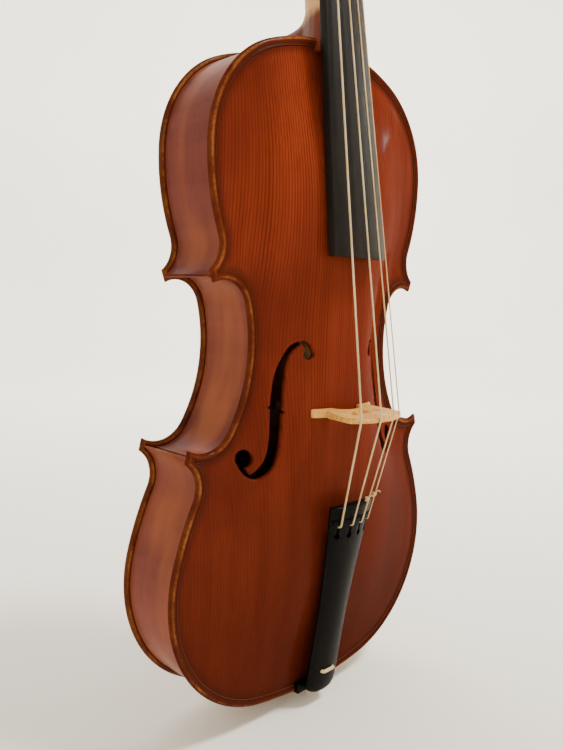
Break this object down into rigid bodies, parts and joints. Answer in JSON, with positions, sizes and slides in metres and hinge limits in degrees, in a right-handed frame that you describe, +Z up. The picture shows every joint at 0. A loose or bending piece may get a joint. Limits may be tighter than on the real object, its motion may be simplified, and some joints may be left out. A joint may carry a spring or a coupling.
{
  "type": "viola",
  "caption": "Bowed string instrument with a hollow arched waisted body, ribs, sound holes, bridge, tailpiece, short fingerboard, scroll head and friction pegs that turn.",
  "frame": {"origin": "middle of the end button's rim, on the button's axis, at the bottom end of the body", "axes": "+Z up along the body towards the scroll, -Y out of the belly, +Y out of the back, +X to the treble side (right when facing the belly)"},
  "size_m": [0.2338, 0.1219, 0.6826],
  "materials": {
    "belly_varnish": "glossy red-brown varnish on spruce",
    "maple_varnish": "glossy red-brown varnish on maple",
    "neck_maple": "oiled pale maple",
    "ebony": "polished black ebony",
    "bridge_maple": "plain pale maple",
    "purfling": "dark inlaid strip",
    "raw_spruce": "bare spruce",
    "gut": "translucent gut string",
    "wound_gut": "gut string wound with fine wire"
  },
  "bodies": {
    "corpus": {"back": "maple_varnish", "back_linings": "raw_spruce", "bass_bar": "raw_spruce", "belly": "belly_varnish", "bridge": "bridge_maple", "centre_rib_bass": "maple_varnish", "centre_rib_treble": "maple_varnish", "end_block": "raw_spruce", "end_button": "ebony", "fingerboard": "ebony", "front_linings": "raw_spruce", "lower_corner_block_bass": "raw_spruce", "lower_corner_block_treble": "raw_spruce", "lower_rib_bass": "maple_varnish", "lower_rib_treble": "maple_varnish", "neck": "neck_maple", "nut": "ebony", "purfling_back": "purfling", "purfling_front": "purfling", "saddle": "ebony", "sound_post": "raw_spruce", "string_a": "gut", "string_c": "wound_gut", "string_d": "gut", "string_g": "gut", "tail_gut": "gut", "tailpiece": "ebony", "tailpiece_fret": "ebony", "top_block": "raw_spruce", "upper_corner_block_bass": "raw_spruce", "upper_corner_block_treble": "raw_spruce", "upper_rib_bass": "maple_varnish", "upper_rib_treble": "maple_varnish"},
    "peg_c": {"peg_c": "ebony", "string_winding_c": "wound_gut"},
    "peg_g": {"peg_g": "ebony", "string_winding_g": "gut"},
    "peg_d": {"peg_d": "ebony", "string_winding_d": "gut"},
    "peg_a": {"peg_a": "ebony", "string_winding_a": "gut"}
  },
  "joints": [
    {"name": "peg_c_turn", "type": "hinge", "parent": "corpus", "child": "peg_c", "pos_m": [0, 0.00273, 0.57728], "axis": [-1, 0, 0], "continuous": true},
    {"name": "peg_g_turn", "type": "hinge", "parent": "corpus", "child": "peg_g", "pos_m": [0, 0.01418, 0.60609], "axis": [-1, 0, 0], "continuous": true},
    {"name": "peg_d_turn", "type": "hinge", "parent": "corpus", "child": "peg_d", "pos_m": [0, 0.01971, 0.62003], "axis": [1, 0, 0], "continuous": true},
    {"name": "peg_a_turn", "type": "hinge", "parent": "corpus", "child": "peg_a", "pos_m": [0, 0.00845, 0.59168], "axis": [1, 0, 0], "continuous": true}
  ]
}
